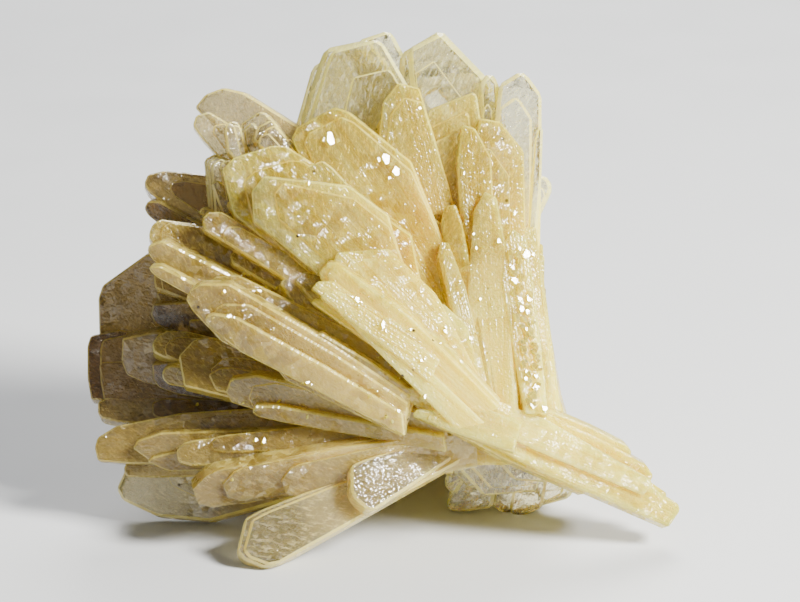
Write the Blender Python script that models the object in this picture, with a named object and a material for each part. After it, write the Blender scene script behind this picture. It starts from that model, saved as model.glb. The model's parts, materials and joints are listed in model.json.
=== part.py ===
"""A cluster of barite crystals: flat blades and plates that fan out from one root and stand as one solid.

The fan is laid out upright, in millimetres: x to the right, y to the back and z up, with the root of the
fan at the origin. Each crystal is a slab cut to its outline by one plane for each side. The slabs are
joined in one solid, which leans back, is cut flat where it stands and is centred over the origin.
"""

import math

import bmesh
import bpy
from mathutils import Matrix, Quaternion, Vector

MM = 0.001                      # the tables below are in millimetres
LEAN = math.radians(20)         # the whole fan leans back by this angle
ROOT_HEIGHT = 14.65             # height of the fan's root above the surface it stands on
SLAB_SIZE = 260                 # width of a slab before it is cut to its outline

# The roof-shaped end of a blade at the back, as shares of the blade's width.
ROOT_HALF_WIDTH = 0.35          # half the width where the blade starts
RIDGE_FROM, RIDGE_TO = -0.15, 0.1   # the ridge at the tip, across the blade
LEFT_SHOULDER = 0.4             # how far below the tip the slope begins on the left
RIGHT_SHOULDER = 0.55           # and on the right


BARITE_COLOUR = (0.80, 0.66, 0.36, 1.0)
BARITE_ROUGHNESS = 0.12
BARITE_TRANSMISSION = 0.6
BARITE_IOR = 1.636

# Each row is one crystal: depth of its root, depth of its tip, turn about its own length in degrees,
# thickness, and its outline as (x, z) corners seen from the front, clockwise from its root.

# Thin clear plates that stand up on the right.
UPRIGHT_PLATES = [
    (6.0, 3.6, 4, 2.0, [(-3, 8), (-10.9, 56), (-11.1, 60.4), (-6, 63.1), (0.6, 56.3), (2.6, 50), (5, 8)]),
    (8.4, 6.0, 3, 2.0, [(-4, 8), (-12.5, 55), (-12.3, 59.7), (-6, 63.5), (1.3, 56), (4, 48), (7, 8)]),
    (9.0, 9.6, -3, 1.8, [(-4, 8), (-19.3, 58), (-18.8, 62.1), (-14.2, 63.6), (-13.3, 62.9), (-10.8, 58),
                         (1, 8)]),
    (5.6, 7.2, -5, 3.4, [(-6, 8), (-28.9, 47.4), (-24.8, 58.5), (-23.9, 60.6), (-17, 62), (-9, 50), (2, 8)]),
    (4.0, 3.4, -2, 2.8, [(-5, 9), (-26.6, 49), (-23.2, 59.3), (-22.6, 60.1), (-16, 61.8), (-14.9, 61.2),
                         (-11, 54.5), (3, 9)]),
    (4.0, 2.6, 6, 1.6, [(2, 10), (-0.3, 54.2), (0.3, 55.7), (1.6, 56.8), (3.1, 55), (3.2, 50), (5, 10)]),
    (5.0, 2.0, 3, 2.6, [(2, 6), (2.4, 50), (3, 54.8), (6.2, 56.8), (7.2, 56.3), (9.5, 53.2), (9.5, 45),
                        (9, 6)]),
    (6.0, 4.6, 0, 5.5, [(5, 6), (8.1, 47.2), (8.7, 49), (9.7, 49), (10, 48.2), (9.4, 41), (8.6, 6)]),
    (8.0, 7.0, -8, 2.2, [(3.5, 25), (8.5, 40.7), (10, 41), (11, 40.2), (11.4, 38.8), (11, 37.8), (5, 25)]),
]

# The wall of stout crystals below them, down to the root.
WALL_CRYSTALS = [
    (3.0, 4.0, 7, 6.0, [(3, 1), (5.8, 31), (6.2, 32.7), (8.3, 32.6), (12, 3)]),
    (5.5, 5.0, -7, 5.0, [(5, 0), (7, 23), (7.6, 25.3), (9.1, 24.6), (13.3, 2.9)]),
    (4.0, 4.6, 14, 3.6, [(6, 5), (7.4, 29.2), (8.4, 30.3), (9.3, 30.1), (9.8, 29), (9.4, 25.5), (9.3, 5)]),
    (-0.5, 1.6, 25, 3.4, [(5, 2), (4.2, 24), (5.5, 30), (8.2, 29.4), (8.7, 24), (10.6, 3)]),
    (-5.0, 0.0, -11, 4.0, [(-0.5, 4), (-5.7, 33), (-5.2, 35.6), (-3.5, 36), (-2.4, 33), (3.2, 4)]),
    (-3.0, 1.0, 9, 4.0, [(1.5, 4), (-3.2, 36), (-2.2, 39), (-0.8, 38.5), (0.4, 35), (5, 4)]),
    (-1.5, 1.4, -16, 3.6, [(3, 4), (0, 30), (0.8, 33.6), (2.4, 33), (3.6, 28), (7, 4)]),
    (-3.5, 0.4, 18, 3.0, [(3.4, 3), (2.4, 21.5), (3.2, 24.5), (4.8, 23.6), (5.5, 20), (7.6, 3)]),
    (-6.5, -2.0, 13, 3.0, [(-1.6, 5), (-6.7, 28), (-6.3, 30.2), (-5.1, 30), (-2.8, 24), (1.6, 5)]),
    (-6.8, -3.0, -9, 3.0, [(1, 4), (-1.8, 18), (-1, 21.6), (0.4, 21), (1.1, 17), (4, 4)]),
]

# Milky plates in the middle of the fan.
MIDDLE_PLATES = [
    (3.2, 0.8, 3, 2.6, [(-5, 9), (-15.6, 47), (-15, 52), (-12.6, 55), (-9.4, 54.2), (-5, 40), (2, 9)]),
    (3.4, 2.2, -4, 2.4, [(-4, 8), (-8.5, 48), (-7.6, 51), (-1, 53.6), (-0.4, 53), (1.6, 40), (4, 8)]),
    (2.6, 0.4, 8, 2.4, [(-1, 8), (-1.5, 44), (0, 49.5), (3, 49), (6.6, 44.5), (7.6, 8)]),
    (1.0, 0.2, -4, 3.4, [(-5, 8), (-27, 42.2), (-28.9, 46.4), (-28, 48.2), (-22.2, 51.2), (-20, 50.4),
                         (-10.5, 42.8), (3, 10)]),
    (-1.0, -1.6, 6, 3.2, [(-6, 8), (-38, 34.6), (-39.7, 41.4), (-37.8, 43.3), (-32, 45.1), (-29.8, 45),
                          (-14, 35), (-3, 14)]),
    (-3.8, -4.6, -4, 3.2, [(-11, 14), (-34.6, 33.6), (-34.9, 38.2), (-33, 40.5), (-20, 39), (-14, 34.5),
                           (-9, 18)]),
    (3.4, 2.4, 11, 4.6, [(-28, 29), (-41.7, 34.8), (-42.4, 43), (-40.8, 43.9), (-38, 43), (-27, 34)]),
    (5.0, 8.6, -8, 3.2, [(-6, 9), (-42.2, 49.5), (-44.2, 51.4), (-42.4, 53.6), (-39.6, 54.6), (-36.3, 53.8),
                         (-27, 48), (0, 16)]),
    (4.0, 6.0, 7, 3.0, [(-6, 8), (-40.8, 43.8), (-43, 46.3), (-44.5, 48.4), (-44, 50), (-42, 50.6),
                        (-34, 45.8), (-2, 14)]),
    (2.4, 3.4, 6, 3.2, [(-36.6, 41.5), (-39.3, 44.4), (-39.4, 48.2), (-38.4, 49), (-37.2, 48.6),
                        (-36.6, 46), (-35.6, 41.5)]),
    (3.0, 4.6, -10, 3.0, [(-33, 40), (-37, 46), (-36.6, 48.8), (-33.8, 50.6), (-32.8, 50.4), (-29.8, 46.6),
                         (-27, 40)]),
    (0.8, 0.6, 13, 3.0, [(-30, 42), (-35.1, 46), (-34.4, 48), (-32.4, 49.1), (-31.7, 48.4), (-30, 46.4),
                        (-27.2, 42)]),
]

# Blades that reach to the left, from the top one down.
LEFT_BLADES = [
    (5.0, 8.4, 13, 3.6, [(-6, 8), (-51.4, 37.8), (-52.2, 39.3), (-51.6, 40.7), (-49, 41.3), (-41, 40.6),
                        (-6, 16)]),
    (4.0, 6.0, -15, 2.8, [(-6, 7), (-49.3, 33.4), (-51.2, 34.9), (-51.8, 36), (-51.2, 37.1), (-49.4, 37.1),
                         (-6, 13)]),
    (0.6, 2.2, 11, 3.4, [(-6, 5), (-48.8, 28.7), (-51, 30.6), (-51, 31.7), (-50.5, 32.9), (-49.3, 33.7),
                        (-44, 33), (-6, 13)]),
    (-2.6, -0.6, -18, 3.2, [(-6, 1.5), (-49.9, 27.9), (-50.8, 29.2), (-50.6, 30.3), (-48.4, 31), (-6, 9.5)]),
    (-2.4, -2.2, 13, 3.0, [(-6, 9), (-42.4, 32), (-42.7, 33.7), (-41.8, 34.7), (-39.8, 34.8), (-6, 16)]),
    (-8.0, -8.6, -13, 3.4, [(-11.3, 1.2), (-39.3, 15.6), (-43.7, 20.3), (-44.6, 22), (-43.9, 23.4),
                           (-42.4, 24.3), (-38, 24.3), (-23, 15.6), (-10.5, 7.2)]),
    (-5.4, -5.6, 15, 3.0, [(-8, 4), (-40.6, 22), (-41.6, 23.6), (-40.6, 24.8), (-37, 25), (-8, 11)]),
    (-3.4, -3.2, 26, 3.4, [(-5, 3), (-28, 19), (-31, 23.6), (-29, 25.4), (-24, 24.8), (-4, 12)]),
    (6.4, 7.4, 11, 3.2, [(-6, 6), (-50.4, 23.1), (-50.7, 25.2), (-50, 25.9), (-6, 12)]),
    (5.6, 6.6, -13, 3.2, [(-6, 3), (-50.1, 18), (-50.9, 19.5), (-50.5, 21.2), (-44, 21.6), (-6, 9)]),
    (2.6, 3.6, 18, 3.2, [(-6, 1), (-49.1, 12.3), (-50.4, 13), (-50.7, 14.3), (-49.9, 15.6), (-48.3, 16.4),
                        (-45, 16.2), (-6, 7)]),
    (0.2, 1.2, -11, 2.8, [(-6, 1.4), (-47.8, 8.7), (-48.7, 9.5), (-48.9, 10.4), (-48.5, 11.3),
                         (-47.4, 11.7), (-6, 6.5)]),
    (-3.2, -2.0, 13, 3.6, [(-5, 0), (-34, 5.2), (-45.3, 8), (-46.2, 12.6), (-44, 15), (-42, 15.5),
                          (-38, 15), (-5, 7)]),
    (-4.8, -4.0, -20, 3.0, [(-5, -1), (-33.8, 5), (-38, 6.3), (-38.8, 8), (-38, 10), (-34, 10.5), (-5, 4.5)]),
    (8.0, 11.4, -9, 3.6, [(-4, 4), (-59.2, 16), (-59.3, 22), (-58.6, 24), (-51.5, 29), (-4, 12)]),
    (7.4, 9.6, 11, 4.0, [(-4, 1), (-60.3, 5.7), (-60.9, 9), (-61, 14), (-60.5, 15.6), (-56, 16.6), (-4, 8)]),
    (4.6, 6.0, -15, 3.6, [(-4, 1.6), (-51.5, 8.9), (-54.6, 10.3), (-55.4, 12.4), (-55.2, 16), (-50, 17),
                         (-4, 8)]),
    (5.0, 7.6, 15, 4.2, [(-4, -1), (-55.8, 2.1), (-58.5, 2.7), (-59.1, 3.3), (-59.2, 5.2), (-57, 6), (-4, 5)]),
]

# Blades that lie low on the left, down to the clear one that touches the ground in front.
LOWER_BLADES = [
    (1.0, 3.4, 6, 4.2, [(-4, -4.6), (-54, -3.9), (-58.8, -3.5), (-59.3, -1.5), (-58.9, 0.1), (-56, 1.9),
                        (-46, 3.9), (-30, 5), (-4, 4)]),
    (-0.8, 1.0, -10, 3.2, [(-4, -3.4), (-50, -3.5), (-53.4, -1), (-52.6, 0.2), (-49, 1.4), (-4, 3)]),
    (-2.8, -1.8, 11, 3.8, [(-4, -3), (-44, -4.1), (-46.2, -3.5), (-46.5, -1.9), (-45.4, -0.6),
                          (-43.5, -0.2), (-30, 1.5), (-4, 3)]),
    (-2.6, -6.4, -19, 4.2, [(-1, -3), (-11, -4.6), (-30, -7.7), (-41, -9.4), (-43.2, -8.8), (-44, -6.6),
                           (-42, -4.6), (-40.3, -3.8), (-22, -0.2), (-1, 2)]),
    (3.4, 7.0, 8, 4.2, [(-4, -2.6), (-41.5, -12.9), (-49.8, -12.2), (-55.2, -9.7), (-56.1, -8),
                        (-54.6, -4.6), (-50, -3.4), (-4, 0.6)]),
    (-2.0, -9.0, 13, 3.8, [(-3, -3.4), (-31.3, -19.1), (-33, -19.4), (-36, -18.2), (-37.1, -16.9),
                          (-35.9, -12), (-33.4, -10.7), (-3, 1)]),
]

# Small plates under the root, which stand on the ground.
FOOT_PLATES = [
    (6.0, 11.4, 5, 3.0, [(4, -1), (2.4, -10.5), (-2.5, -11.3), (-4.3, -11.1), (-4.9, -10.2), (-3.4, -6.6),
                         (0, -1)]),
    (4.0, 6.6, -6, 2.6, [(0, -1), (-1.2, -5), (-3.6, -6.5), (-5.2, -7), (-4.8, -5.2), (-3.2, -3.6),
                         (-0.6, -1)]),
    (6.4, 12.4, -5, 3.2, [(11, -2), (10.2, -10.3), (6, -11.3), (3.8, -11.2), (2.2, -10), (3, -2)]),
    (7.6, 10.6, 6, 2.8, [(13, -2), (14.9, -7.8), (14.2, -9.1), (9, -10.6), (7, -9), (7, -2)]),
    (2.0, 6.4, 0, 5.0, [(10, 0), (8.4, -7.4), (0, -8), (-4.4, -3), (-4, 1)]),
]

# Long blades that cross in front of the root: two run on to the lower right as a tail.
CROSSING_BLADES = [
    (-9.8, -8.6, 6, 3.0, [(5, -2), (-5, 3), (-12.5, 5.8), (-11.3, 8.1), (-6, 8.4), (6, 2.6)]),
    (-7.8, -2.0, -12, 3.4, [(-8, 7), (-4, 8), (12, 1.5), (30, -9.9), (30.2, -10.9), (28.4, -13.4),
                            (10, -5.3), (-7.2, 3.6)]),
    (-5.0, 0.6, 9, 3.4, [(-2, 9), (13.2, 2.9), (20, -0.4), (25.4, -3.6), (26.4, -5.1), (26, -6), (10, -3),
                         (-2, 1)]),
    (-4.0, 0.4, -10, 2.6, [(0, 4), (24.5, -5.5), (28.5, -8.3), (28.2, -9.4), (22, -8), (0, -1)]),
    (-10.4, -11.4, 9, 2.6, [(-8, 9), (-25.7, 23.2), (-24.9, 24.2), (-22.5, 24.3), (-6, 13)]),
    (-8.6, -9.4, -8, 3.6, [(-4, 2), (-17.6, 17.1), (-24.2, 24.8), (-24.5, 26), (-23.1, 27.4), (-21.6, 27.4),
                           (-11, 19.9), (3, 5.5)]),
    (-6.6, -6.8, 10, 3.2, [(-3, 8), (-22.6, 27.2), (-22, 28.6), (-14.2, 29.2), (-7, 22.3), (0, 8)]),
]

# The stout middle that all of them grow from: the root, and the thick crystals that fan out inside.
ROOT_CRYSTALS = [
    (4.0, 4.6, 0, 14, [(-6, -4), (-9, 2), (-8, 8), (0, 12), (8, 9), (10.5, 0), (5, -4)]),
    (12.0, 13.0, 8, 10, [(-6, -4), (-12, 2), (-10, 10), (-2, 13), (4, 9), (6, -4)]),
    (5.0, 9.0, 4, 12, [(-4, -3), (-36, -3.5), (-39, -1), (-38, 4), (-4, 7)]),
    (5.0, 10.0, -5, 12, [(-4, 0), (-36, 7), (-39, 10), (-36, 16), (-4, 10)]),
    (5.0, 10.0, 5, 12, [(-6, 2), (-32, 17), (-35, 22), (-30, 27), (-3, 12)]),
    (5.0, 9.0, -4, 12, [(-7, 5), (-25, 28), (-25, 33), (-18, 37), (0, 11)]),
    (5.0, 8.0, 3, 10, [(-5, 6), (-13, 38), (-10, 43), (-3, 42), (4, 8)]),
]

# Blades at the back: tip (x, y, z), width, thickness and turn about the length. All start at the root.
# The first six are stout ones that fill the middle, and the others stand out between them.
BACK_ROOT = (-2, 11, 4)
BACK_BLADES = [
    ((-31, 26, 4), 16, 13, 10),
    ((-27, 27, 18), 16, 13, -12),
    ((-18, 28, 28), 16, 12, 14),
    ((-6, 25, 30), 15, 12, -10),
    ((-14, 35, 7), 18, 14, 12),
    ((3, 22, 15), 12, 12, -20),
    ((-50, 18, 11), 8, 4.0, 20),
    ((-41, 15, 37), 7, 3.6, -40),
    ((-31, 15, 46), 8, 3.4, 28),
    ((-20, 14, 51), 9, 3.0, -24),
    ((-7, 13, 51), 9, 3.0, 18),
    ((4, 12, 44), 7, 3.2, -30),
    ((-45, 23, 22), 9, 4.0, -25),
    ((-36, 23, 35), 9, 4.0, -15),
    ((-23, 23, 44), 10, 3.6, 12),
    ((-9, 21, 45), 9, 3.6, 25),
    ((3, 19, 38), 8, 3.6, -12),
    ((8, 19, 26), 7, 3.8, 30),
    ((-41, 30, 11), 8, 4.2, 55),
    ((-32, 33, 25), 9, 4.4, 25),
    ((-17, 33, 36), 9, 4.0, -35),
    ((-3, 29, 32), 8, 3.8, 15),
    ((-33, 38, 4), 8, 4.2, -60),
    ((-24, 40, 16), 9, 4.2, 35),
    ((-10, 39, 21), 9, 4.2, -10),
    ((4, 32, 17), 8, 4.2, 40),
    ((9, 25, 6), 7, 4.0, -30),
    ((-42, 22, -4), 8, 4.4, 80),
    ((-30, 34, -4), 10, 5.4, 84),
    ((-17, 40, -2), 11, 6.0, 70),
    ((-3, 36, 0), 10, 5.6, -75),
    ((8, 26, -5), 10, 5.4, 78),
]


def add_collection(name):
    collection = bpy.data.collections.new(name)
    bpy.context.scene.collection.children.link(collection)
    return collection


def add_object(name, bm, collection):
    """Close the working mesh and put it in the scene as an object."""
    bmesh.ops.recalc_face_normals(bm, faces=bm.faces)
    mesh = bpy.data.meshes.new(name)
    bm.to_mesh(mesh)
    bm.free()
    crystal = bpy.data.objects.new(name, mesh)
    collection.objects.link(crystal)
    return crystal


def cut(bm, point, outward):
    """Cut away what lies on the outward side of a plane, and close the cut with a flat face."""
    everything = bm.verts[:] + bm.edges[:] + bm.faces[:]
    result = bmesh.ops.bisect_plane(bm, geom=everything, plane_co=point, plane_no=outward, clear_outer=True)
    rim = [item for item in result["geom_cut"] if isinstance(item, bmesh.types.BMEdge)]
    bmesh.ops.holes_fill(bm, edges=rim)


def cut_slab(corners, normal, thickness):
    """A slab square to normal, cut by one plane for each side of the outline."""
    bm = bmesh.new()
    bmesh.ops.create_cube(bm, size=1)
    bmesh.ops.scale(bm, vec=(SLAB_SIZE, SLAB_SIZE, thickness), verts=bm.verts)
    turn = normal.to_track_quat("Z", "Y").to_matrix().to_4x4()
    bmesh.ops.transform(bm, matrix=Matrix.Translation(corners[0]) @ turn, verts=bm.verts)
    for start, end in zip(corners, corners[1:] + corners[:1]):
        cut(bm, start, (end - start).cross(normal).normalized())
    return bm


def front_crystal(root_depth, tip_depth, turn, thickness, outline):
    """A crystal whose outline is seen from the front, in a plane that runs from root depth to tip depth."""
    corners = [Vector((x, 0, z)) for x, z in outline]
    root = (corners[0] + corners[-1]) / 2
    tip = max(corners, key=lambda corner: (corner - root).length)
    axis = tip - root
    axis.y = tip_depth - root_depth
    normal = axis.cross(Vector((0, 1, 0))).cross(axis).normalized()
    normal.rotate(Quaternion(axis.normalized(), math.radians(turn)))
    for corner in corners:
        across = corner - root
        corner.y = root_depth - (normal.x * across.x + normal.z * across.z) / normal.y
    return cut_slab(corners, normal, thickness)


def back_crystal(tip, width, thickness, turn):
    """A blade from the back of the root to its tip, with a roof-shaped end."""
    root = Vector(BACK_ROOT)
    tip = Vector(tip)
    axis = (tip - root).normalized()
    normal = axis.cross(Vector((0, 1, 0))).cross(axis).normalized()
    normal.rotate(Quaternion(axis, math.radians(turn)))
    side = normal.cross(axis)
    length = (tip - root).length
    outline = [(-ROOT_HALF_WIDTH, 0), (-0.5, length - LEFT_SHOULDER * width), (RIDGE_FROM, length),
               (RIDGE_TO, length), (0.5, length - RIGHT_SHOULDER * width), (ROOT_HALF_WIDTH, 0)]
    corners = [root + side * (across * width) + axis * along for across, along in outline]
    return cut_slab(corners, normal, thickness)


def add_crystals(collection):
    """Every crystal of the cluster as an object of its own, still apart and in millimetres."""
    rows = ROOT_CRYSTALS + UPRIGHT_PLATES + WALL_CRYSTALS + MIDDLE_PLATES
    rows += LEFT_BLADES + LOWER_BLADES + FOOT_PLATES + CROSSING_BLADES
    crystals = [add_object("crystal", front_crystal(*row), collection) for row in rows]
    crystals += [add_object("back_crystal", back_crystal(*row), collection) for row in BACK_BLADES]
    for crystal in crystals:
        crystal.hide_render = True
        crystal.display_type = "WIRE"
    return crystals


def join_crystals(crystals, collection):
    """The union of all crystals, as one mesh."""
    first = crystals[0]
    collection.objects.unlink(first)
    bpy.context.scene.collection.objects.link(first)
    union = first.modifiers.new("grown_together", "BOOLEAN")
    union.operation = "UNION"
    union.operand_type = "COLLECTION"
    union.collection = collection
    union.solver = "MANIFOLD"   # the exact solver leaves open edges where many slabs meet
    evaluated = first.evaluated_get(bpy.context.evaluated_depsgraph_get())
    mesh = bpy.data.meshes.new_from_object(evaluated)
    bpy.data.objects.remove(first)
    return mesh


def fill_pockets(bm):
    """Fill the closed pockets between crystals: only the outer skin, the largest piece, is kept."""
    loose = set(bm.verts)
    pieces = []
    while loose:
        found = {loose.pop()}
        piece = set(found)
        while found:
            found = {edge.other_vert(vert) for vert in found for edge in vert.link_edges} - piece
            piece |= found
        loose -= piece
        pieces.append(piece)
    skin = max(pieces, key=len)
    pockets = [vert for piece in pieces if piece is not skin for vert in piece]
    bmesh.ops.delete(bm, geom=pockets, context="VERTS")


def stand(mesh):
    """Lean the fan back, cut it flat where it stands, and centre it over the origin."""
    bm = bmesh.new()
    bm.from_mesh(mesh)
    fill_pockets(bm)
    place = Matrix.Translation((0, 0, ROOT_HEIGHT)) @ Matrix.Rotation(-LEAN, 4, "X")
    bmesh.ops.transform(bm, matrix=Matrix.Scale(MM, 4) @ place, verts=bm.verts)
    cut(bm, Vector((0, 0, 0)), Vector((0, 0, -1)))
    middle = [(min(v.co[i] for v in bm.verts) + max(v.co[i] for v in bm.verts)) / 2 for i in (0, 1)]
    bmesh.ops.translate(bm, vec=(-middle[0], -middle[1], 0), verts=bm.verts)
    return bm


def make_barite():
    barite = bpy.data.materials.new("barite")
    barite.use_nodes = True
    shader = barite.node_tree.nodes["Principled BSDF"]
    shader.inputs["Base Color"].default_value = BARITE_COLOUR
    shader.inputs["Roughness"].default_value = BARITE_ROUGHNESS
    shader.inputs["Metallic"].default_value = 0.0
    shader.inputs["IOR"].default_value = BARITE_IOR
    shader.inputs["Transmission Weight"].default_value = BARITE_TRANSMISSION
    return barite


def main():
    for old in list(bpy.data.objects):
        bpy.data.objects.remove(old)
    shapes = add_collection("crystal_shapes")
    cluster = add_collection("barite_crystal")
    joined = join_crystals(add_crystals(shapes), shapes)
    part = add_object("barite_cluster", stand(joined), cluster)
    part.data.materials.append(make_barite())
    bpy.data.meshes.remove(joined)


main()
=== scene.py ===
# %% [markdown]
# # A cluster of barite crystals
#
# Barite often grows as flat blades that fan out from one spot, so that a whole cluster is a single piece of
# stone. This one stands on its low blades: clear upright plates at the top, milky plates in the middle,
# smoky blades on the left, and cream blades that cross in front and run to the lower right.
#
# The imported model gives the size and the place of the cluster. Its solid has one plain slab for each main
# crystal. Here the same crystals are grown again with what makes barite look alive: chamfered rims, thin
# growth layers, companions along their sides, and a stone that is clear at the tips and milky inside.

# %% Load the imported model, which stays where it is
import json
import math
import random

import bpy
from mathutils import Euler, Matrix, Quaternion, Vector
from mathutils.bvhtree import BVHTree

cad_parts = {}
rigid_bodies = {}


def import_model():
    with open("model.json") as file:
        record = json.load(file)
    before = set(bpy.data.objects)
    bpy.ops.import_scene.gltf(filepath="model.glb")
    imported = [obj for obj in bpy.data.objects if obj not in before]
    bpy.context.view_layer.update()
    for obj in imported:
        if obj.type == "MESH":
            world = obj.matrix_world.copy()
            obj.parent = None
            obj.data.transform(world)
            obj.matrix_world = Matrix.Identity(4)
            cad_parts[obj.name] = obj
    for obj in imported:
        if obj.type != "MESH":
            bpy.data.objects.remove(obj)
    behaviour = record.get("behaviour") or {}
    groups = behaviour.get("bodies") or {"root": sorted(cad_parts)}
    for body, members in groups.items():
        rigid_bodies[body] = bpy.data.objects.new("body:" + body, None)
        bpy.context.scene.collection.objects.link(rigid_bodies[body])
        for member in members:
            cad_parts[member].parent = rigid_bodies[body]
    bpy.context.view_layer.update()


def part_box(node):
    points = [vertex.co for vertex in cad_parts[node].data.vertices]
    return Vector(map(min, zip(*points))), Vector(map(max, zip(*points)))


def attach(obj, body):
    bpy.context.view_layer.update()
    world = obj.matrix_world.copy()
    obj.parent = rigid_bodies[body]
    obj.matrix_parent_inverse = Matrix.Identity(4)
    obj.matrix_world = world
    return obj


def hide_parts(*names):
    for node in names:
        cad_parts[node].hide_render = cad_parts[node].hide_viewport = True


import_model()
solid_low, solid_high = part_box("barite_cluster")


def in_mm(lengths):
    """Lengths in metres as rounded millimetres, for a print."""
    return [round(1000 * length, 1) for length in lengths]


print("the solid is", in_mm(solid_high - solid_low), "mm")

# %% [markdown]
# ## The plane of the fan
#
# It is easiest to draw the fan upright and in millimetres: x to the right, y to the back and z up, with the
# spot that everything grows from at the origin. The real cluster leans back a little as it stands, so the
# finished mesh is turned, scaled to metres and set down in one step at the end.

# %% How the fan stands
MM = 0.001                              # a millimetre in metres, and the scale of the fan
LEAN = math.radians(20)                 # the fan leans back by this angle
ROOT_SPOT = Vector((15.23, -13.91, 14.65)) * MM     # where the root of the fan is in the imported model
BACKWARD = Vector((0, 1, 0))            # straight away from the viewer
lean_back = Matrix.Translation(ROOT_SPOT) @ Matrix.Rotation(-LEAN, 4, "X")
stand = lean_back @ Matrix.Scale(MM, 4)
dice = random.Random(7)                 # the same throws each time
print("the root is", round(1000 * ROOT_SPOT.z, 1), "mm above the surface")

# %% [markdown]
# ## One crystal
#
# A barite crystal is a slab with an outline of straight sides. A cube is stretched to a thin, very wide
# plate, and each side of the outline is then one bisect that clears what lies outside and fills the cut.
# That is how a jeweller would saw it, and it always leaves a closed mesh. A bevel of all its edges gives
# the narrow chamfers that catch the light along real plates.

# %% A slab cut to an outline
PLATE = 240                             # width of the plate before it is cut, in millimetres
CLOSE = 1e-5                            # corners nearer than this to a cut are taken to lie on it


def deselect_all():
    for item in bpy.context.selected_objects:
        item.select_set(False)


def cut_plate(corners, normal, thickness, chamfer):
    """A plate square to normal, sawn along each side of its outline and chamfered."""
    deselect_all()
    turn = normal.to_track_quat("Z", "Y").to_euler()
    bpy.ops.mesh.primitive_cube_add(size=1, location=corners[0], rotation=turn,
                                    scale=(PLATE, PLATE, thickness))
    bpy.ops.object.transform_apply(location=True, rotation=True, scale=True)
    bpy.ops.object.mode_set(mode="EDIT")
    for start, end in zip(corners, corners[1:] + corners[:1]):
        outward = (end - start).cross(normal).normalized()
        bpy.ops.mesh.select_all(action="SELECT")
        bpy.ops.mesh.bisect(plane_co=start, plane_no=outward, use_fill=True, clear_outer=True,
                            threshold=CLOSE)
    bpy.ops.mesh.select_all(action="SELECT")
    bpy.ops.mesh.bevel(offset=chamfer, segments=1, affect="EDGES", clamp_overlap=True)
    bpy.ops.object.mode_set(mode="OBJECT")
    return bpy.context.object


# %% [markdown]
# An outline is drawn as it looks from the front. The crystal lies in a plane that runs from the depth of
# its root to the depth of its tip and is turned a little about its own length, so each corner is pushed
# back along y until it meets that plane.

# %% From a front outline to corners in space
def root_and_tip(outline):
    """The middle of the root end of an outline, and its farthest corner, as 2D points."""
    root = (Vector(outline[0]) + Vector(outline[-1])) / 2
    return root, max((Vector(corner) for corner in outline), key=lambda corner: (corner - root).length)


def square_to(axis, turn):
    """The direction square to a crystal's length that looks to the back, turned about it by degrees."""
    normal = axis.cross(BACKWARD).cross(axis).normalized()
    normal.rotate(Quaternion(axis, math.radians(turn)))
    return normal


def lay_in_plane(outline, root_depth, tip_depth, turn):
    """Corners, normal and length direction of a crystal drawn from the front."""
    root, tip = root_and_tip(outline)
    axis = Vector((tip.x - root.x, tip_depth - root_depth, tip.y - root.y)).normalized()
    normal = square_to(axis, turn)
    corners = []
    for x, z in outline:
        push = (normal.x * (x - root.x) + normal.z * (z - root.y)) / normal.y
        corners.append(Vector((x, root_depth - push, z)))
    return corners, normal, axis


# %% [markdown]
# ## What each face remembers
#
# All crystals end up in one mesh with one material, so every face carries a few numbers of its own: how
# clear its crystal is, how smoky it is together with the painted shade it gets, how glossy, a random tone,
# and whether it belongs to the rim. A UV map called Grain holds millimetres: across the crystal, with a
# random shift, and along it, counted from its tip back to its root. The fine lines follow it, and the milk
# begins a little way below the tip. All of this is still there after a Boolean union.

# %% Mark a crystal's faces
BROAD = 0.99                            # a face this square to the crystal's normal is one of its broad faces


def mark(crystal, normal, axis, clear, smoke_and_shade, gloss):
    """Write a crystal's numbers on its faces, and lay out its grain map."""
    mesh = crystal.data
    values = {"clear": clear, "smoke_and_shade": smoke_and_shade, "gloss": gloss, "tone": dice.random()}
    for name, value in values.items():
        layer = mesh.attributes.new(name, "FLOAT", "FACE")
        layer.data.foreach_set("value", [value] * len(mesh.polygons))
    rim = mesh.attributes.new("rim", "FLOAT", "FACE")
    rim.data.foreach_set("value", [float(abs(face.normal.dot(normal)) < BROAD) for face in mesh.polygons])
    side = axis.cross(normal)
    tip = max(vert.co.dot(axis) for vert in mesh.vertices)
    shift = dice.uniform(0, 100)
    grain = mesh.uv_layers[0]
    grain.name = "Grain"
    for loop, spot in zip(mesh.loops, grain.data):
        place = mesh.vertices[loop.vertex_index].co
        spot.uv = (place.dot(side) + place.dot(normal) + shift, tip - place.dot(axis))


# %% [markdown]
# ## Growth beside and on a crystal
#
# Barite seldom grows one blade alone. Slimmer companions run along its sides, end a little shorter and
# swing away by a degree or so. On the broad faces lie thin layers that stopped growing early and left a
# step. Both come from the crystal's own outline: its length, width and swing are changed.

# %% Change an outline
def changed(outline, length, width, swing, across):
    """The outline made longer and wider by these shares, swung by degrees and moved across in millimetres."""
    root, tip = root_and_tip(outline)
    axis = (tip - root).normalized()
    side = Vector((axis.y, -axis.x))
    turn = Matrix.Rotation(math.radians(swing), 2)
    points = []
    for corner in outline:
        offset = Vector(corner) - root
        along = offset.dot(axis)
        over = offset.dot(side)
        points.append(tuple(root + turn @ (axis * along * length + side * (over * width + across))))
    return points


# %% [markdown]
# Every main crystal is now a call of one function. It cuts the plate itself and lays thin layers on its broad
# faces, with nearly the same outline, so that their edges run beside its own as fine steps. Ledges along its
# sides stop halfway and leave the small jogs that real blades have, and slimmer companions grow beside it.
# The random shares come from one seeded generator, so the cluster is the same each time the lesson is run.

# %% Grow a plate from an outline that is a little changed
crystals = []


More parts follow.
